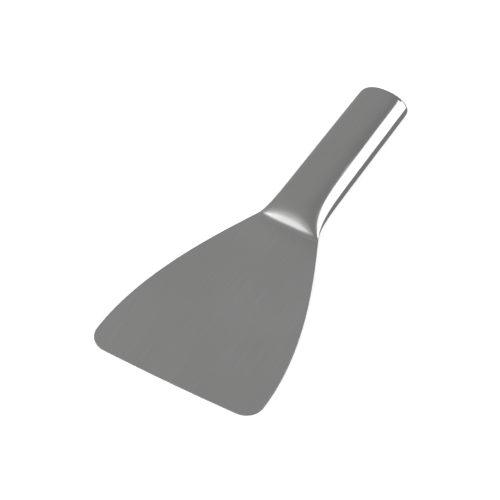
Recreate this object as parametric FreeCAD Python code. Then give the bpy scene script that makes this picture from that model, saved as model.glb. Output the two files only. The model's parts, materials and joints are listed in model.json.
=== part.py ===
"""Wide stainless palette knife: a fan-shaped blade welded into a hollow oval tube handle.

The pieces are drawn with the blade's middle plane at z = 0, the crease between blade and
handle at x = 0, the blade towards +X and the handle towards -X. Each piece is then laid down
as the knife rests on a table, on the blade's front and the handle's belly, with the origin
at the bottom centre of the whole knife. Lengths are in millimetres, angles in degrees, and a
distance is measured behind the crease.
"""
import FreeCAD, Part
import math
import os

from FreeCAD import Vector

# Blade: one flat sheet, thinned from below to a working edge at its front.
blade_length = 122.7
blade_width = 100.9
blade_thickness = 1.2
blade_neck_width = 36.2
blade_neck_angle = 24.6
blade_corner_radius = 10.6
blade_front_bow = 0.6
blade_side_straight = 2.0
neck_pull = 20.2
shoulder_pull = 45.1
working_edge_thickness = 0.6
working_edge_length = 7.0

# Tang: the blade's tail, hidden inside the handle.
tang_length = 28.0
tang_step = 0.05
tang_fit_gap = 0.1
tang_root_gap = 6.2
tang_tail_gap = 3.2
tang_corner_radius = 4.0

# Handle: a tube pressed oval, and pressed flat on the tang at its mouth.
handle_length = 107.2
handle_width = 31.2
handle_end_width = 29.6
handle_thickness = 14.7
handle_wall = 0.8
mouth_overhang = 0.1
mouth_rise = 0.3
neck_rise = 1.6
rear_drop = 1.5
flare_length = 6.6
belly_length = 9.0
body_roundness = 0.83
mouth_roundness = 0.45
roundness_length = 6.0

# End cap: a pressed dome with a skirt that plugs into the tube.
cap_length = 9.0
dome_depth_in_width = 7.4
dome_depth_in_height = 4.3
dome_squareness = 3.5
cap_skirt_length = 5.0
cap_skirt_gap = 0.05

# Welds: a blended bead across the mouth above and below, and a ring between tube and cap.
neck_weld_leg = 3.6
cap_weld_width = 0.8

# How finely the handle's smooth skin is drawn.
body_stations = 16
dome_stations = 14
dome_last_angle = 83.0
section_points = 32

tang_thickness = blade_thickness - 2 * tang_step
mouth_half_height = tang_thickness / 2 + tang_fit_gap + handle_wall + mouth_rise
mouth_half_width = blade_neck_width / 2 + mouth_overhang
cap_joint = handle_length - cap_length
reach = blade_length + handle_length


def easing(start, end, distance, length):
    """A value that leaves start at the crease and settles at end, over a few lengths."""
    return end + (start - end) * math.exp(-distance / length)


def handle_half_width(distance):
    """Half the tube's width: flared at the mouth, then a slow taper to the rear."""
    taper = (handle_width - handle_end_width) / 2 * distance / handle_length
    return easing(mouth_half_width, handle_width / 2, distance, flare_length) - taper


def handle_half_height(distance):
    """Half the tube's thickness, rising from the flat mouth to the full belly."""
    return easing(mouth_half_height, handle_thickness / 2, distance, belly_length)


def handle_rise(distance):
    """Height of the tube's middle over the blade's middle plane."""
    return easing(mouth_rise, neck_rise, distance, belly_length) - rear_drop * distance / handle_length


def roundness(distance):
    """1 draws the tube's section as an ellipse, and 0 as a slot with round ends."""
    return easing(mouth_roundness, body_roundness, distance, roundness_length)


def dome_share(distance, depth, inset):
    """Share of the full size that is left at a distance, where the handle's end is domed."""
    into_dome = (distance - handle_length + depth) / (depth - inset)
    return (1 - max(into_dome, 0) ** dome_squareness) ** (1 / dome_squareness)


def handle_section(distance, inset):
    """The tube's outline across the knife at a distance, drawn inside its skin by inset."""
    half_width = (handle_half_width(distance) - inset) * dome_share(distance, dome_depth_in_width, inset)
    half_height = (handle_half_height(distance) - inset) * dome_share(distance, dome_depth_in_height, inset)
    points = []
    for index in range(section_points):
        angle = 2 * math.pi * index / section_points
        side = math.copysign(abs(math.cos(angle)) ** roundness(distance), math.cos(angle))
        across = (half_width - half_height) * side + half_height * math.cos(angle)
        up = handle_rise(distance) + half_height * math.sin(angle)
        points.append(Vector(-distance, across, up))
    curve = Part.BSplineCurve()
    curve.interpolate(Points=points, Parameters=list(range(section_points + 1)), PeriodicFlag=True)
    return Part.Wire([curve.toShape()])


def handle_form(inset):
    """Solid form of the handle from its mouth to its domed end, drawn inside its skin by inset."""
    dome_start = handle_length - dome_depth_in_width
    distances = [dome_start * (index / body_stations) ** 2 for index in range(body_stations)]
    for index in range(dome_stations + 1):
        angle = math.radians(dome_last_angle * index / dome_stations)
        into_dome = math.sin(angle) ** (2 / dome_squareness)
        distances.append(dome_start + into_dome * (dome_depth_in_width - inset))
    return Part.makeLoft([handle_section(distance, inset) for distance in distances], True, False)


def wall_between(outer, inner, near, far):
    """Ring of wall between two handle forms, over a stretch of distances."""
    block = Part.makeBox(far - near, 2 * reach, 2 * reach, Vector(-far, -reach, -reach))
    return outer.cut(inner).common(block)


def quarter_arc(centre, start, end):
    """Quarter of a circle about centre, from start to end."""
    middle = centre + (start + end - centre * 2) * math.sqrt(0.5)
    return Part.Arc(start, middle, end).toShape()


def blade_outline():
    """The outline of the blade and its tang, seen from above."""
    half = blade_width / 2
    neck = Vector(0, blade_neck_width / 2, 0)
    slope = math.radians(blade_neck_angle)
    corner_x = blade_length - blade_front_bow
    corner_centre = Vector(corner_x - blade_corner_radius, half - blade_corner_radius, 0)
    corner_front = Vector(corner_x, corner_centre.y, 0)
    corner_side = Vector(corner_centre.x, half, 0)
    side_rear = Vector(corner_side.x - blade_side_straight, half, 0)
    side = Part.BezierCurve()
    side.setPoles([
        side_rear,
        side_rear - Vector(shoulder_pull, 0, 0),
        neck + Vector(math.cos(slope), math.sin(slope), 0) * neck_pull,
        neck,
    ])
    tang_root = Vector(0, mouth_half_width - handle_wall - tang_root_gap, 0)
    tail_half = handle_half_width(tang_length) - handle_wall - tang_tail_gap
    tail_centre = Vector(tang_corner_radius - tang_length, tail_half - tang_corner_radius, 0)
    tail_side = Vector(tail_centre.x, tail_half, 0)
    tail_rear = Vector(-tang_length, tail_centre.y, 0)
    near_half = [
        quarter_arc(corner_centre, corner_front, corner_side),
        Part.LineSegment(corner_side, side_rear).toShape(),
        side.toShape(),
        Part.LineSegment(neck, tang_root).toShape(),
        Part.LineSegment(tang_root, tail_side).toShape(),
        quarter_arc(tail_centre, tail_side, tail_rear),
    ]
    far_half = [edge.mirror(Vector(0, 0, 0), Vector(0, 1, 0)) for edge in near_half]
    front = Part.Arc(Vector(corner_x, -corner_front.y, 0), Vector(blade_length, 0, 0), corner_front)
    tail = Part.LineSegment(tail_rear, Vector(-tang_length, -tail_rear.y, 0))
    return Part.Wire(Part.__sortEdges__(near_half + far_half + [front.toShape(), tail.toShape()]))


def make_blade():
    """Flat blade, thinned from below at its working edge and on both sides at its tang."""
    sheet = Part.Face(blade_outline()).extrude(Vector(0, 0, blade_thickness))
    sheet.translate(Vector(0, 0, -blade_thickness / 2))
    heel = Vector(blade_length - working_edge_length, -reach, -blade_thickness / 2)
    climb = Vector(working_edge_length, 0, blade_thickness - working_edge_thickness)
    tip = heel + climb * 2
    ground_away = Part.Face(Part.makePolygon([heel, tip, Vector(tip.x, tip.y, heel.z), heel]))
    sheet = sheet.cut(ground_away.extrude(Vector(0, 2 * reach, 0)))
    for bottom in (tang_thickness / 2, -tang_thickness / 2 - reach):
        corner = Vector(neck_weld_leg - reach, -reach, bottom)
        sheet = sheet.cut(Part.makeBox(reach, 2 * reach, reach, corner))
    return sheet


def make_neck_weld(up):
    """Weld bead that blends the blade into the handle's mouth: on the tang if up is 1, under it if -1."""
    surface = blade_thickness / 2 * up
    root = Vector(0, -reach, tang_thickness / 2 * up)
    foot = Vector(neck_weld_leg, -reach, tang_thickness / 2 * up)
    toe = Vector(neck_weld_leg, -reach, surface)
    crest = Vector(0, -reach, mouth_rise + mouth_half_height * up)
    blend = Part.BezierCurve()
    blend.setPoles([toe, Vector(neck_weld_leg / 2, -reach, surface), crest])
    edges = [
        Part.LineSegment(crest, root).toShape(),
        Part.LineSegment(root, foot).toShape(),
        Part.LineSegment(foot, toe).toShape(),
        blend.toShape(),
    ]
    bead = Part.Face(Part.Wire(edges)).extrude(Vector(0, 2 * reach, 0))
    mouth = Part.Face(handle_section(0, 0)).extrude(Vector(neck_weld_leg, 0, 0))
    return bead.common(mouth)


def make_end_cap(skin, cavity):
    """Domed cap with a joggled skirt that fits inside the tube."""
    root = cap_joint + cap_weld_width
    dome = wall_between(skin, cavity, root, handle_length)
    skirt_skin = handle_form(handle_wall + cap_skirt_gap)
    skirt_cavity = handle_form(2 * handle_wall + cap_skirt_gap)
    skirt = wall_between(skirt_skin, skirt_cavity, cap_joint - cap_skirt_length, root + handle_wall)
    joggle = wall_between(handle_form(handle_wall / 2), skirt_cavity, root, root + handle_wall)
    return dome.fuse([joggle, skirt]).removeSplitter()


def make_cap_weld(skin):
    """Weld ring that fills the joint between the tube and its cap, down to the skirt."""
    return wall_between(skin, handle_form(handle_wall + cap_skirt_gap), cap_joint, cap_joint + cap_weld_width)


def resting_tilt():
    """Angle that the blade dips by when its heel and the handle's belly both touch the table."""
    heel_x = blade_length - working_edge_length
    angles = []
    for distance in range(int(cap_joint)):
        hang = handle_half_height(distance) - handle_rise(distance) - blade_thickness / 2
        angles.append(math.degrees(math.atan2(hang, heel_x + distance)))
    return max(angles)


def lay_down(pieces):
    """Lay every piece on the table, with the origin at the bottom centre of the whole knife."""
    for shape in pieces.values():
        shape.rotate(Vector(0, 0, 0), Vector(0, 1, 0), resting_tilt())
    box = Part.makeCompound(list(pieces.values())).optimalBoundingBox(False)
    for shape in pieces.values():
        shape.translate(Vector(-box.Center.x, -box.Center.y, -box.ZMin))


skin = handle_form(0)
cavity = handle_form(handle_wall)
pieces = {
    "blade": make_blade(),
    "handle_tube": wall_between(skin, cavity, 0, cap_joint),
    "end_cap": make_end_cap(skin, cavity),
    "neck_weld_top": make_neck_weld(1),
    "neck_weld_underside": make_neck_weld(-1),
    "end_cap_weld": make_cap_weld(skin),
}
lay_down(pieces)
os.makedirs("parts", exist_ok=True)
for name, shape in pieces.items():
    shape.exportStep("parts/" + name + ".step")
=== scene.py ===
"""Looks of the palette knife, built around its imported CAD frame.

Shapes are drawn in the knife's own axes: x runs from the crease between blade and handle
towards the blade's front, y across the knife, and z up from the blade's middle plane. A
distance is measured behind the crease. Lengths are in metres and angles in degrees.
"""
import json
import math

import bmesh
import bpy
import numpy as np
from mathutils import Matrix, Vector


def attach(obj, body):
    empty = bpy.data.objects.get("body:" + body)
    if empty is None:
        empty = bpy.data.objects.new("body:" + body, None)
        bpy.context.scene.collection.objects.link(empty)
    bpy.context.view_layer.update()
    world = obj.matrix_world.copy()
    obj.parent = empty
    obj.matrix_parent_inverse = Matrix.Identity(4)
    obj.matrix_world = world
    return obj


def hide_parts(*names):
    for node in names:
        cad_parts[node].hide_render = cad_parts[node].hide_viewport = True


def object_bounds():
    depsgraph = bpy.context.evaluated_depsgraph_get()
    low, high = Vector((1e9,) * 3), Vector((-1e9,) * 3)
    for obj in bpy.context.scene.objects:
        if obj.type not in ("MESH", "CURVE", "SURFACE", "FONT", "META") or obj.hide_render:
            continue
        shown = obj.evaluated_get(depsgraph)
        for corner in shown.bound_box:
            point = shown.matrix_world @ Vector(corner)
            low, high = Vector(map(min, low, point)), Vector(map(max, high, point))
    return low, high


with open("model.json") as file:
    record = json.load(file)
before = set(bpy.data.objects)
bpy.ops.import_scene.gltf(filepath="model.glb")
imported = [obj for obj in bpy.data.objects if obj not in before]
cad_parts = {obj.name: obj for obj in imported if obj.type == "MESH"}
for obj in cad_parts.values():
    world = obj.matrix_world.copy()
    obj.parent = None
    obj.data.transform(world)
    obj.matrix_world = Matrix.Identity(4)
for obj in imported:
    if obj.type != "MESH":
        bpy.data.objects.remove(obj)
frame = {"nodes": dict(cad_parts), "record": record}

CAD_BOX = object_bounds()
MM = 0.001

# Blade: the curves of its outline, and its rounded edges.
NECK_HALF_WIDTH = 18.1 * MM
NECK_ANGLE = 24.6
CORNER_RADIUS = 10.6 * MM
FRONT_BOW = 0.6 * MM
SIDE_STRAIGHT = 2.0 * MM
NECK_PULL = 20.2 * MM
SHOULDER_PULL = 45.1 * MM
WORKING_EDGE_THICKNESS = 0.6 * MM
WORKING_EDGE_LENGTH = 7.0 * MM
EDGE_ROUNDING = 0.08 * MM
EDGE_STEPS = 4

# Tang: the blade's tail, hidden inside the handle.
TANG_THICKNESS = 1.1 * MM
TANG_ROOT_HALF_WIDTH = 11.2 * MM
TANG_TAIL_HALF_WIDTH = 11.3 * MM
TANG_CORNER_RADIUS = 4.0 * MM

# Handle: a tube pressed oval, and pressed flat on the tang at its mouth.
HANDLE_WIDTH = 31.2 * MM
HANDLE_END_WIDTH = 29.6 * MM
HANDLE_THICKNESS = 14.7 * MM
HANDLE_WALL = 0.8 * MM
MOUTH_HALF_HEIGHT = 1.75 * MM
MOUTH_RISE = 0.3 * MM
NECK_RISE = 1.6 * MM
REAR_DROP = 1.5 * MM
FLARE_LENGTH = 6.6 * MM
BELLY_LENGTH = 9.0 * MM
BODY_ROUNDNESS = 0.83
MOUTH_ROUNDNESS = 0.45
ROUNDNESS_LENGTH = 6.0 * MM

# End cap: a pressed dome with a skirt that plugs into the tube.
DOME_DEPTH_IN_WIDTH = 7.4 * MM
DOME_DEPTH_IN_HEIGHT = 4.3 * MM
DOME_SQUARENESS = 3.5
DOME_LAST_ANGLE = 88.5
SKIRT_GAP = 0.05 * MM
SKIRT_LENGTH = 5.0 * MM

# Weld beads across the mouth, blended into the blade.
BEAD_LEG = 3.6 * MM
BEAD_STEPS = 14

# How finely the smooth skins are drawn.
RING_POINTS = 144
SECTION_SAMPLES = 4096
BODY_RINGS = 90
BODY_RING_CROWDING = 1.6
DOME_RINGS = 40
SIDE_POINTS = 40
CORNER_POINTS = 14
FRONT_POINTS = 16
SHARP_ANGLE = 32.0

# The knife's own axes, from the blade's flat underside.
UP = -Vector(frame["record"]["mounts"][0]["axis"]).normalized()
ACROSS = Vector((0, 1, 0))
FORWARD = ACROSS.cross(UP)


def own_box(node):
    """Lowest and highest corners of a CAD node along the knife's own axes."""
    axes = np.array([FORWARD, ACROSS, UP])
    corners = np.array([vertex.co for vertex in frame["nodes"][node].data.vertices]) @ axes.T
    return Vector(corners.min(0)), Vector(corners.max(0))


blade_low, blade_high = own_box("blade")
tube_low, tube_high = own_box("handle_tube")
weld_ring_low = own_box("end_cap_weld")[0]
cap_low = own_box("end_cap")[0]

CREASE = tube_high.x
BLADE_LENGTH = blade_high.x - CREASE
BLADE_HALF_WIDTH = blade_high.y
BLADE_THICKNESS = blade_high.z - blade_low.z
TANG_LENGTH = CREASE - blade_low.x
MOUTH_HALF_WIDTH = tube_high.y
CAP_JOINT = CREASE - tube_low.x
CAP_ROOT = CREASE - weld_ring_low.x
HANDLE_LENGTH = CREASE - cap_low.x

PLACE = Matrix((FORWARD, ACROSS, UP)).transposed().to_4x4()
PLACE.translation = FORWARD * CREASE + UP * (blade_low.z + blade_high.z) / 2


# ---------------------------------------------------------------- shapes

def easing(start, end, distance, length):
    """A value that leaves start at the crease and settles at end, over a few lengths."""
    return end + (start - end) * math.exp(-distance / length)


def handle_half_width(distance):
    """Half the handle's width: flared at the mouth, then a slow taper to the rear."""
    taper = (HANDLE_WIDTH - HANDLE_END_WIDTH) / 2 * distance / HANDLE_LENGTH
    return easing(MOUTH_HALF_WIDTH, HANDLE_WIDTH / 2, distance, FLARE_LENGTH) - taper


def handle_half_height(distance):
    """Half the handle's thickness, rising from the flat mouth to the full belly."""
    return easing(MOUTH_HALF_HEIGHT, HANDLE_THICKNESS / 2, distance, BELLY_LENGTH)


def handle_rise(distance):
    """Height of the handle's middle over the blade's middle plane."""
    return easing(MOUTH_RISE, NECK_RISE, distance, BELLY_LENGTH) - REAR_DROP * distance / HANDLE_LENGTH


def roundness(distance):
    """1 draws the handle's section as an ellipse, and 0 as a slot with round ends."""
    return easing(MOUTH_ROUNDNESS, BODY_ROUNDNESS, distance, ROUNDNESS_LENGTH)


def dome_share(distance, depth, inset):
    """Share of the full size that is left at a distance, where the handle's end is domed."""
    into_dome = (distance - HANDLE_LENGTH + depth) / (depth - inset)
    into_dome = min(max(into_dome, 0), 1)
    return (1 - into_dome ** DOME_SQUARENESS) ** (1 / DOME_SQUARENESS)


def handle_ring(distance, inset=0.0):
    """Evenly spaced points round the handle at a distance, drawn inside its skin by inset."""
    half_width = (handle_half_width(distance) - inset) * dome_share(distance, DOME_DEPTH_IN_WIDTH, inset)
    half_height = (handle_half_height(distance) - inset) * dome_share(distance, DOME_DEPTH_IN_HEIGHT, inset)
    turn = np.linspace(0, 2 * math.pi, SECTION_SAMPLES + 1)
    side = np.sign(np.cos(turn)) * np.abs(np.cos(turn)) ** roundness(distance)
    across = (half_width - half_height) * side + half_height * np.cos(turn)
    up = handle_rise(distance) + half_height * np.sin(turn)
    walked = np.concatenate([[0], np.cumsum(np.hypot(np.diff(across), np.diff(up)))])
    even = np.linspace(0, walked[-1], RING_POINTS, endpoint=False)
    across = np.interp(even, walked, across)
    up = np.interp(even, walked, up)
    return [Vector((-distance, y, z)) for y, z in zip(across, up)]


def dome_distances(inset):
    """Distances of the rings that draw the handle's domed end, drawn inside its skin by inset."""
    start = HANDLE_LENGTH - DOME_DEPTH_IN_WIDTH
    angles = [math.radians(DOME_LAST_ANGLE * index / DOME_RINGS) for index in range(1, DOME_RINGS + 1)]
    depths = [math.sin(angle) ** (2 / DOME_SQUARENESS) for angle in angles]
    return [start + depth * (DOME_DEPTH_IN_WIDTH - inset) for depth in depths]


def add_to_scene(name, data):
    """A new object in the scene, made of a mesh, a light or a camera."""
    added = bpy.data.objects.new(name, data)
    bpy.context.scene.collection.objects.link(added)
    return added


def add_mesh(name, form, material):
    """Turn a bmesh into an object with one material."""
    mesh = bpy.data.meshes.new(name)
    form.to_mesh(mesh)
    form.free()
    mesh.materials.append(material)
    return add_to_scene(name, mesh)


def new_piece(name, form, material, replaced):
    """Turn a bmesh in the knife's own axes into a smooth-shaded piece that stands for a CAD node."""
    bmesh.ops.recalc_face_normals(form, faces=form.faces)
    form.transform(PLACE)
    piece = add_mesh(name, form, material)
    piece.data.shade_smooth()
    piece.data.set_sharp_from_angle(angle=math.radians(SHARP_ANGLE))
    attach(piece, "root")
    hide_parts(replaced)
    return piece


def bridge(form, near, far):
    """Join two rings of vertices with a band of four-sided faces."""
    for index in range(len(near)):
        after = (index + 1) % len(near)
        form.faces.new((near[index], near[after], far[after], far[index]))


def bridged_rings(rings, closed):
    """A bmesh of rings joined in order, and the last to the first if it is closed."""
    form = bmesh.new()
    loops = [[form.verts.new(point) for point in ring] for ring in rings]
    for near, far in zip(loops, loops[1:]):
        bridge(form, near, far)
    if closed:
        bridge(form, loops[-1], loops[0])
    return form, loops


def close_with_pole(form, loop):
    """Close a ring of vertices with a fan of faces about its middle."""
    middle = sum((vertex.co for vertex in loop), Vector()) / len(loop)
    pole = form.verts.new(middle)
    for index in range(len(loop)):
        form.faces.new((loop[index], loop[(index + 1) % len(loop)], pole))


def outline_half():
    """One side of the blade's outline, from the middle of its front to the middle of its tail."""
    corner_x = BLADE_LENGTH - FRONT_BOW
    corner_y = BLADE_HALF_WIDTH - CORNER_RADIUS
    points = []
    for index in range(FRONT_POINTS):
        share = index / FRONT_POINTS
        points.append(Vector((BLADE_LENGTH - FRONT_BOW * share ** 2, corner_y * share)))
    for index in range(CORNER_POINTS + 1):
        angle = math.pi / 2 * index / CORNER_POINTS
        x = corner_x - CORNER_RADIUS * (1 - math.cos(angle))
        points.append(Vector((x, corner_y + CORNER_RADIUS * math.sin(angle))))
    side_rear = Vector((corner_x - CORNER_RADIUS - SIDE_STRAIGHT, BLADE_HALF_WIDTH))
    neck = Vector((0, NECK_HALF_WIDTH))
    slope = math.radians(NECK_ANGLE)
    shoulder_pole = side_rear - Vector((SHOULDER_PULL, 0))
    neck_pole = neck + Vector((math.cos(slope), math.sin(slope))) * NECK_PULL
    for index in range(SIDE_POINTS + 1):
        share = index / SIDE_POINTS
        rest = 1 - share
        points.append(side_rear * rest ** 3 + shoulder_pole * 3 * rest ** 2 * share
                      + neck_pole * 3 * rest * share ** 2 + neck * share ** 3)
    points.append(Vector((0, TANG_ROOT_HALF_WIDTH)))
    for index in range(CORNER_POINTS + 1):
        angle = math.pi / 2 * index / CORNER_POINTS
        x = -TANG_LENGTH + TANG_CORNER_RADIUS * (1 - math.sin(angle))
        y = TANG_TAIL_HALF_WIDTH - TANG_CORNER_RADIUS * (1 - math.cos(angle))
        points.append(Vector((x, y)))
    return points


def drawn_in(outline, amount):
    """The outline moved inwards by an amount. It runs anticlockwise, seen from above."""
    moved = []
    for index, point in enumerate(outline):
        before = (point - outline[index - 1]).normalized()
        after = (outline[(index + 1) % len(outline)] - point).normalized()
        inwards = Vector((-before.y - after.y, before.x + after.x))
        moved.append(point + inwards * amount / (1 + before.dot(after)))
    return moved


def make_blade(material):
    """Flat sheet with rounded edges, a working edge ground from below, and a thinner tang."""
    half = outline_half()
    outline = half + [Vector((point.x, -point.y)) for point in reversed(half[1:])]
    rings = []
    for side in (1, -1):
        levels = range(EDGE_STEPS + 1) if side == 1 else range(EDGE_STEPS, -1, -1)
        for level in levels:
            angle = math.pi / 2 * level / EDGE_STEPS
            height = BLADE_THICKNESS / 2 - EDGE_ROUNDING * (1 - math.cos(angle))
            ring = drawn_in(outline, EDGE_ROUNDING * (1 - math.sin(angle)))
            rings.append([Vector((point.x, point.y, side * height)) for point in ring])
    form, loops = bridged_rings(rings, closed=False)
    form.faces.new(loops[0])
    form.faces.new(loops[-1])
    heel = BLADE_LENGTH - WORKING_EDGE_LENGTH
    step = EDGE_ROUNDING / 2
    for cut_x in (heel, BEAD_LEG, BEAD_LEG - step):
        everything = form.verts[:] + form.edges[:] + form.faces[:]
        bmesh.ops.bisect_plane(form, geom=everything, plane_co=(cut_x, 0, 0), plane_no=(1, 0, 0))
    for vertex in form.verts:
        if vertex.co.x > heel:
            into_edge = (vertex.co.x - heel) / WORKING_EDGE_LENGTH
            thinned = 1 - (1 - WORKING_EDGE_THICKNESS / BLADE_THICKNESS) * into_edge
            vertex.co.z = BLADE_THICKNESS / 2 - (BLADE_THICKNESS / 2 - vertex.co.z) * thinned
        if vertex.co.x < BEAD_LEG - step / 2:
            vertex.co.z *= TANG_THICKNESS / BLADE_THICKNESS
    piece = new_piece("blade_sheet", form, material, "blade")
    shading = piece.modifiers.new("flat_faces_stay_flat", "WEIGHTED_NORMAL")
    shading.keep_sharp = True
    return piece


def make_handle(material):
    """Pressed tube: an outer and an inner skin, joined at its mouth and at its cap end."""
    shares = [(index / BODY_RINGS) ** BODY_RING_CROWDING for index in range(BODY_RINGS + 1)]
    distances = [share * CAP_JOINT for share in shares]
    outer = [handle_ring(distance) for distance in distances]
    inner = [handle_ring(distance, HANDLE_WALL) for distance in reversed(distances)]
    form, _ = bridged_rings(outer + inner, closed=True)
    return new_piece("handle_body", form, material, "handle_tube")


def make_end_cap(material):
    """Pressed cap: a dome, a joggle at the tube's end, and a skirt inside the tube."""
    start = HANDLE_LENGTH - DOME_DEPTH_IN_WIDTH
    skirt_skin = HANDLE_WALL + SKIRT_GAP
    skirt_inside = 2 * HANDLE_WALL + SKIRT_GAP
    outer = [handle_ring(CAP_ROOT)] + [handle_ring(distance) for distance in dome_distances(0)]
    skirt_distances = (CAP_ROOT, CAP_JOINT - SKIRT_LENGTH)
    skirt = [handle_ring(distance, skirt_skin) for distance in skirt_distances]
    skirt += [handle_ring(distance, skirt_inside) for distance in reversed(skirt_distances)]
    inner = [handle_ring(start, skirt_inside)]
    inner += [handle_ring(distance, HANDLE_WALL) for distance in dome_distances(HANDLE_WALL)]
    form, loops = bridged_rings(list(reversed(outer)) + skirt + inner, closed=False)
    close_with_pole(form, loops[0])
    close_with_pole(form, loops[-1])
    return new_piece("end_cap_shell", form, material, "end_cap")


def make_cap_weld(material):
    """Weld ring between the tube and the cap, ground flush with both."""
    outer = [handle_ring(CAP_JOINT + (CAP_ROOT - CAP_JOINT) * share) for share in (0, 0.5, 1)]
    inner = [handle_ring(distance, HANDLE_WALL + SKIRT_GAP) for distance in (CAP_ROOT, CAP_JOINT)]
    form, _ = bridged_rings(outer + inner, closed=True)
    return new_piece("cap_weld_ring", form, material, "end_cap_weld")


def make_neck_weld(name, side, material, replaced):
    """Concave weld bead across the mouth: on the blade if side is 1, under it if -1."""
    surface = BLADE_THICKNESS / 2 * side
    root_height = TANG_THICKNESS / 2 * side
    mouth = [point for point in handle_ring(0) if (point.z - surface) * side > 0]
    mouth.sort(key=lambda point: point.y)
    form = bmesh.new()
    loops = []
    for crest in mouth:
        root = Vector((0, crest.y, root_height))
        loop = [root, Vector((BEAD_LEG, crest.y, root_height))]
        for step in range(BEAD_STEPS + 1):
            share = step / BEAD_STEPS
            height = surface + (crest.z - surface) * share ** 2
            loop.append(Vector((BEAD_LEG * (1 - share), crest.y, height)))
        loops.append([form.verts.new(point) for point in loop])
    for near, far in zip(loops, loops[1:]):
        bridge(form, near, far)
    form.faces.new(loops[0])
    form.faces.new(loops[-1])
    return new_piece(name, form, material, replaced)


# ---------------------------------------------------------------- materials

BLADE_TINT = (0.60, 0.60, 0.595)
HANDLE_TINT = (0.575, 0.575, 0.57)

# Patterns in the steel: features in a metre along the knife's x, y and z, and a turn about z.
BRUSHING = dict(scale=(30, 5200, 5200), detail=4.0)
FINE_BRUSHING = dict(scale=(160, 16000, 16000), turn=1.5, seed=3.0)
MARKS = dict(scale=(46, 60, 60), detail=5.0, seed=7.0)
CLOUDS = dict(scale=(14, 18, 18), detail=2.0, seed=11.0)
SCRATCHES = dict(scale=(22, 1900, 1900), turn=9.0, detail=2.0, seed=5.0)
CROSS_SCRATCHES = dict(scale=(1500, 26, 1500), turn=24.0, detail=2.0, seed=9.0)

# The part of a pattern's noise that is used. Only its highest peaks make scratches.
NOISE_RANGE = (0.3, 0.7)
MARKS_RANGE = (0.35, 0.65)
SCRATCH_RANGE = (0.70, 0.76)
CROSS_SCRATCH_RANGE = (0.73, 0.78)
FULL_RANGE = (0.0, 1.0)

# How far the patterns change the steel's brightness, its roughness and the height of its grain.
CLOUDS_BRIGHTNESS = (0.975, 1.02)
BRUSHING_BRIGHTNESS = (0.97, 1.03)
SCRATCH_BRIGHTNESS = (1.0, 1.12)
MARKS_ROUGHNESS = (-0.022, 0.022)
CLOUDS_ROUGHNESS = (-0.018, 0.018)
FINE_BRUSHING_ROUGHNESS = (-0.02, 0.02)
CROSS_SCRATCH_ROUGHNESS = (0.0, 0.05)
FINE_BRUSHING_HEIGHT = 0.35
SCRATCH_DEPTH = 0.9
CROSS_SCRATCH_DEPTH = 0.6

# Painted shade beside the neck weld: the blade is darkened in front of the crease, where the handle
# shades it, with a wavy, slanted edge. A stretch of the handle also gets rougher towards the weld.
PAINTED_SHADE_LENGTH = 16 * MM
PAINTED_SHADE_SLANT = -0.22
PAINTED_SHADE_WAVE = 1.2 * MM
ROUGH_ZONE = (-22 * MM, -3 * MM)


class Nodes:
    """A material's node tree, with short calls for the nodes that the steels share."""

    def __init__(self, name):
        self.material = bpy.data.materials.new(name)
        self.material.use_nodes = True
        self.tree = self.material.node_tree
        self.shader = self.tree.nodes["Principled BSDF"]
        own_axes = self.add("ShaderNodeMapping", vector_type="TEXTURE")
        own_axes.inputs["Location"].default_value = PLACE.translation
        own_axes.inputs["Rotation"].default_value = PLACE.to_euler()
        self.feed(own_axes.inputs["Vector"], self.add("ShaderNodeTexCoord").outputs["Object"])
        self.place = own_axes.outputs["Vector"]

    def add(self, kind, **settings):
        """A new node with its settings."""
        node = self.tree.nodes.new(kind)
        for key, value in settings.items():
            setattr(node, key, value)
        return node

    def feed(self, socket, value):
        """Link an output into a socket, or set the socket to a plain value."""
        if isinstance(value, bpy.types.NodeSocket):
            self.tree.links.new(value, socket)
        else:
            socket.default_value = value

    def noise(self, scale, turn=0.0, detail=3.0, seed=0.0):
        """Noise with its own scale along x, y and z, turned about z. Scales are per metre."""
        mapping = self.add("ShaderNodeMapping")
        self.feed(mapping.inputs["Vector"], self.place)
        mapping.inputs["Rotation"].default_value = (0, 0, math.radians(turn))
        mapping.inputs["Scale"].default_value = scale
        mapping.inputs["Location"].default_value = (seed, seed, seed)
        texture = self.add("ShaderNodeTexNoise")
        self.feed(texture.inputs["Vector"], mapping.outputs["Vector"])
        texture.inputs["Scale"].default_value = 1.0
        texture.inputs["Detail"].default_value = detail
        return texture.outputs["Fac"]

    def math(self, operation, first, second):
        """A calculation on two values or outputs."""
        node = self.add("ShaderNodeMath", operation=operation)
        self.feed(node.inputs[0], first)
        self.feed(node.inputs[1], second)
        return node.outputs[0]

    def remap(self, value, from_range, to_range):
        """Value carried smoothly from one range to another, and held at its ends."""
        node = self.add("ShaderNodeMapRange", interpolation_type="SMOOTHSTEP")
        for socket, number in zip(node.inputs, (value, *from_range, *to_range)):
            self.feed(socket, number)
        return node.outputs[0]

    def tinted(self, tint, brightness):
        """The tint made lighter or darker by a brightness."""
        node = self.add("ShaderNodeMix", data_type="RGBA", blend_type="MULTIPLY")
        factor, first, second = node.inputs[0], node.inputs[6], node.inputs[7]
        factor.default_value = 1.0
        first.default_value = (*tint, 1)
        grey = self.add("ShaderNodeCombineColor")
        for socket in grey.inputs[:3]:
            self.feed(socket, brightness)
        self.feed(second, grey.outputs[0])
        return node.outputs[2]


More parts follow.
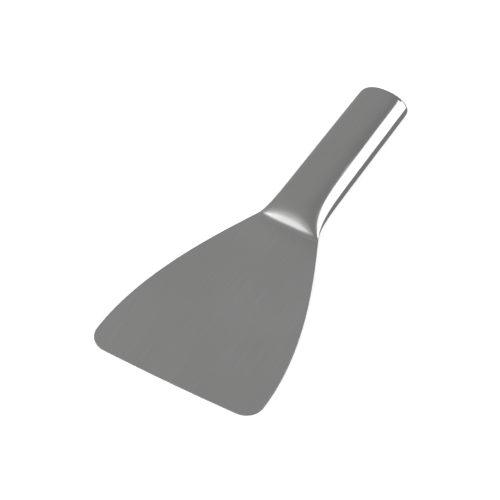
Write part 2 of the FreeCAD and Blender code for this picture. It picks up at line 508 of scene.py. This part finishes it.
def steel(name, tint, roughness, grain_height, crease_painted_shade=0.0, weld_roughness=0.0):
    """Satin steel: lengthwise brushing, sparse scratches, handling marks and an uneven sheen.

    Beside the neck weld, a painted shade in front of the crease leaves the given share of the brightness,
    and the given roughness is added.
    """
    nodes = Nodes(name)
    brushing = nodes.noise(**BRUSHING)
    fine_brushing = nodes.noise(**FINE_BRUSHING)
    marks = nodes.noise(**MARKS)
    clouds = nodes.noise(**CLOUDS)
    scratches = nodes.remap(nodes.noise(**SCRATCHES), SCRATCH_RANGE, FULL_RANGE)
    cross_scratches = nodes.remap(nodes.noise(**CROSS_SCRATCHES), CROSS_SCRATCH_RANGE, FULL_RANGE)
    split = nodes.add("ShaderNodeSeparateXYZ")
    nodes.feed(split.inputs[0], nodes.place)

    brightness = nodes.remap(clouds, NOISE_RANGE, CLOUDS_BRIGHTNESS)
    brushed = nodes.remap(brushing, NOISE_RANGE, BRUSHING_BRIGHTNESS)
    brightness = nodes.math("MULTIPLY", brightness, brushed)
    scratched = nodes.remap(scratches, FULL_RANGE, SCRATCH_BRIGHTNESS)
    brightness = nodes.math("MULTIPLY", brightness, scratched)
    # Painted shade: the blade is darkened in front of the crease, where the handle shades it.
    if crease_painted_shade:
        slanted = nodes.math("MULTIPLY", split.outputs["Y"], PAINTED_SHADE_SLANT)
        slanted = nodes.math("ADD", split.outputs["X"], slanted)
        wavy = nodes.math("ADD", slanted, nodes.remap(marks, NOISE_RANGE, (-PAINTED_SHADE_WAVE, PAINTED_SHADE_WAVE)))
        painted_shade = nodes.remap(wavy, (0.0, PAINTED_SHADE_LENGTH), (crease_painted_shade, 1.0))
        brightness = nodes.math("MULTIPLY", brightness, painted_shade)
    nodes.feed(nodes.shader.inputs["Base Color"], nodes.tinted(tint, brightness))

    uneven = nodes.remap(marks, MARKS_RANGE, MARKS_ROUGHNESS)
    uneven = nodes.math("ADD", uneven, nodes.remap(clouds, NOISE_RANGE, CLOUDS_ROUGHNESS))
    uneven = nodes.math("ADD", uneven, nodes.remap(fine_brushing, NOISE_RANGE, FINE_BRUSHING_ROUGHNESS))
    uneven = nodes.math("ADD", uneven, nodes.remap(cross_scratches, FULL_RANGE, CROSS_SCRATCH_ROUGHNESS))
    if weld_roughness:
        blended = nodes.remap(split.outputs["X"], ROUGH_ZONE, (0.0, weld_roughness))
        uneven = nodes.math("ADD", uneven, blended)
    nodes.feed(nodes.shader.inputs["Roughness"], nodes.math("ADD", uneven, roughness))

    height = nodes.math("ADD", brushing, nodes.math("MULTIPLY", fine_brushing, FINE_BRUSHING_HEIGHT))
    height = nodes.math("SUBTRACT", height, nodes.math("MULTIPLY", scratches, SCRATCH_DEPTH))
    height = nodes.math("SUBTRACT", height, nodes.math("MULTIPLY", cross_scratches, CROSS_SCRATCH_DEPTH))
    bump = nodes.add("ShaderNodeBump")
    bump.inputs["Strength"].default_value = 1.0
    bump.inputs["Distance"].default_value = grain_height
    nodes.feed(bump.inputs["Height"], height)
    nodes.feed(nodes.shader.inputs["Normal"], bump.outputs["Normal"])
    nodes.shader.inputs["Metallic"].default_value = 1.0
    return nodes.material


# ---------------------------------------------------------------- stage

# The camera's target and angles are in the knife's own axes. Its turn starts at the blade's front.
CAMERA_ELEVATION = 50.255
CAMERA_TURN = 31.262
CAMERA_ROLL = 0.48
CAMERA_DISTANCE = 1.767
CAMERA_TARGET = Vector((25.43 * MM, -9.24 * MM, 0))
LENS = 239.8

# Floor, and the wall that stands round it. They glow a little, as a backlit table does.
FLOOR_HALF_SIZE = 3.0
FLOOR_WHITE = 0.93
FLOOR_GRAIN_SCALE = (40, 40, 40)
FLOOR_GRAIN = (0.99, 1.0)
FLOOR_ROUGHNESS = 0.9
FLOOR_GLOW = 0.5
BACKDROP_RADIUS = 2.9
BACKDROP_HEIGHT = 6.0
BACKDROP_SIDES = 64
BACKDROP_GLOW = 1.0

# The studio's greys towards -Y and +Y, and the Y of the directions where one fades into the other.
STUDIO_GREYS = (0.366, 0.30)
STUDIO_FADE = (-0.35, 0.12)

# Softboxes: directions from the crease to the lower and the upper edge, distance, width, radiance.
SOFTBOXES = {
    "flank_softbox": ((-0.41, 0.89, 0.24), (-0.41, 0.33, 0.85), 1.2, 1.15, 1.7),
    "cap_edge_softbox": ((-0.94, 0.33, 0.02), (-0.77, 0.52, 0.38), 1.2, 0.62, 1.7),
    "crease_softbox": ((0.80, -0.46, 0.42), (0.42, -0.40, 0.81), 1.2, 0.6, 1.05),
    "crease_fade": ((0.42, -0.36, 0.83), (0.24, -0.34, 0.91), 1.2, 0.7, 0.26),
    "crease_left": ((0.50, -0.80, 0.25), (0.28, -0.62, 0.73), 1.2, 0.7, 3.0),
    "front_fill": ((0.90, 0.30, 0.30), (0.70, 0.45, 0.56), 1.5, 0.9, 2.0),
    "left_fill": ((0.45, -0.88, 0.15), (0.50, -0.80, 0.35), 1.5, 0.9, 2.0),
}


def make_camera():
    """Long-lens camera, looking down on the knife from in front of its blade and to one side."""
    elevation = math.radians(CAMERA_ELEVATION)
    turn = math.radians(CAMERA_TURN)
    level = Vector((math.cos(turn), math.sin(turn), 0))
    back = level * math.cos(elevation) + Vector((0, 0, math.sin(elevation)))
    right = Vector((-math.sin(turn), math.cos(turn), 0))
    view = Matrix((right, back.cross(right), back)).transposed().to_4x4()
    view.translation = CAMERA_TARGET + back * CAMERA_DISTANCE
    camera = add_to_scene("camera", bpy.data.cameras.new("camera"))
    camera.data.lens = LENS
    camera.matrix_world = PLACE @ view @ Matrix.Rotation(math.radians(-CAMERA_ROLL), 4, "Z")
    bpy.context.scene.camera = camera


def softbox(name, low, high, distance, width, radiance):
    """Rectangular light facing the crease, between two directions for its lower and upper edges."""
    low = Vector(low).normalized()
    high = Vector(high).normalized()
    aim = (low + high).normalized()
    side = low.cross(high).normalized()
    data = bpy.data.lights.new(name, "AREA")
    data.shape = "RECTANGLE"
    data.size = width
    data.size_y = 2 * distance * math.tan(low.angle(high) / 2)
    data.energy = radiance * math.pi * data.size * data.size_y
    turn = Matrix((side, aim.cross(side), aim)).transposed().to_4x4()
    light = add_to_scene(name, data)
    light.matrix_world = Matrix.Translation(PLACE.translation + aim * distance) @ turn


def glowing_white(name, glow):
    """A material that gives off white light of its own, and its nodes."""
    nodes = Nodes(name)
    nodes.shader.inputs["Emission Color"].default_value = (1, 1, 1, 1)
    nodes.shader.inputs["Emission Strength"].default_value = glow
    return nodes


def make_floor():
    """Plain pale floor under the knife. The steel doesn't mirror it."""
    nodes = glowing_white("floor_white", FLOOR_GLOW)
    grain = nodes.remap(nodes.noise(FLOOR_GRAIN_SCALE), NOISE_RANGE, FLOOR_GRAIN)
    nodes.feed(nodes.shader.inputs["Base Color"], nodes.tinted((FLOOR_WHITE,) * 3, grain))
    nodes.shader.inputs["Roughness"].default_value = FLOOR_ROUGHNESS
    nodes.shader.inputs["Specular IOR Level"].default_value = 0.0
    form = bmesh.new()
    bmesh.ops.create_grid(form, x_segments=1, y_segments=1, size=FLOOR_HALF_SIZE)
    floor = add_mesh("floor", form, nodes.material)
    floor.location.z = CAD_BOX[0].z
    floor.visible_glossy = False


def make_backdrop():
    """White wall round the floor's edge, which only the camera sees."""
    nodes = glowing_white("backdrop_white", BACKDROP_GLOW)
    form = bmesh.new()
    bmesh.ops.create_cone(form, cap_ends=False, segments=BACKDROP_SIDES, radius1=BACKDROP_RADIUS,
                          radius2=BACKDROP_RADIUS, depth=BACKDROP_HEIGHT)
    backdrop = add_mesh("backdrop", form, nodes.material)
    backdrop.visible_diffuse = False
    backdrop.visible_glossy = False
    backdrop.visible_shadow = False


def make_world():
    """Grey studio, a little darker towards +Y, away from the side that the blade mirrors."""
    world = bpy.data.worlds.new("studio")
    world.use_nodes = True
    tree = world.node_tree
    place = tree.nodes.new("ShaderNodeTexCoord").outputs["Generated"]
    split = tree.nodes.new("ShaderNodeSeparateXYZ")
    tree.links.new(place, split.inputs[0])
    fade = tree.nodes.new("ShaderNodeMapRange")
    fade.interpolation_type = "SMOOTHSTEP"
    tree.links.new(split.outputs["Y"], fade.inputs[0])
    for socket, number in zip(fade.inputs[1:5], (*STUDIO_FADE, *STUDIO_GREYS)):
        socket.default_value = number
    tree.links.new(fade.outputs[0], tree.nodes["Background"].inputs["Color"])
    bpy.context.scene.world = world


def make_lights():
    """Softboxes for the handle's flank, its cap's edge and the crease, and fills for the floor."""
    for name, settings in SOFTBOXES.items():
        softbox(name, *settings)


# The blade's steel carries painted shade in front of the crease.
blade_steel = steel("blade_satin_steel", BLADE_TINT, roughness=0.20, grain_height=0.007 * MM,
                    crease_painted_shade=0.91)
handle_steel = steel("handle_polished_steel", HANDLE_TINT, roughness=0.11, grain_height=0.0035 * MM,
                     weld_roughness=0.12)
weld_steel = steel("weld_ground_steel", HANDLE_TINT, roughness=0.11, grain_height=0.0045 * MM,
                   weld_roughness=0.12)

make_blade(blade_steel)
make_handle(handle_steel)
make_end_cap(handle_steel)
make_cap_weld(weld_steel)
make_neck_weld("neck_bead_top", 1, weld_steel, "neck_weld_top")
make_neck_weld("neck_bead_underside", -1, weld_steel, "neck_weld_underside")

make_camera()
make_floor()
make_backdrop()
make_world()
make_lights()
bpy.context.scene.view_settings.view_transform = "Standard"
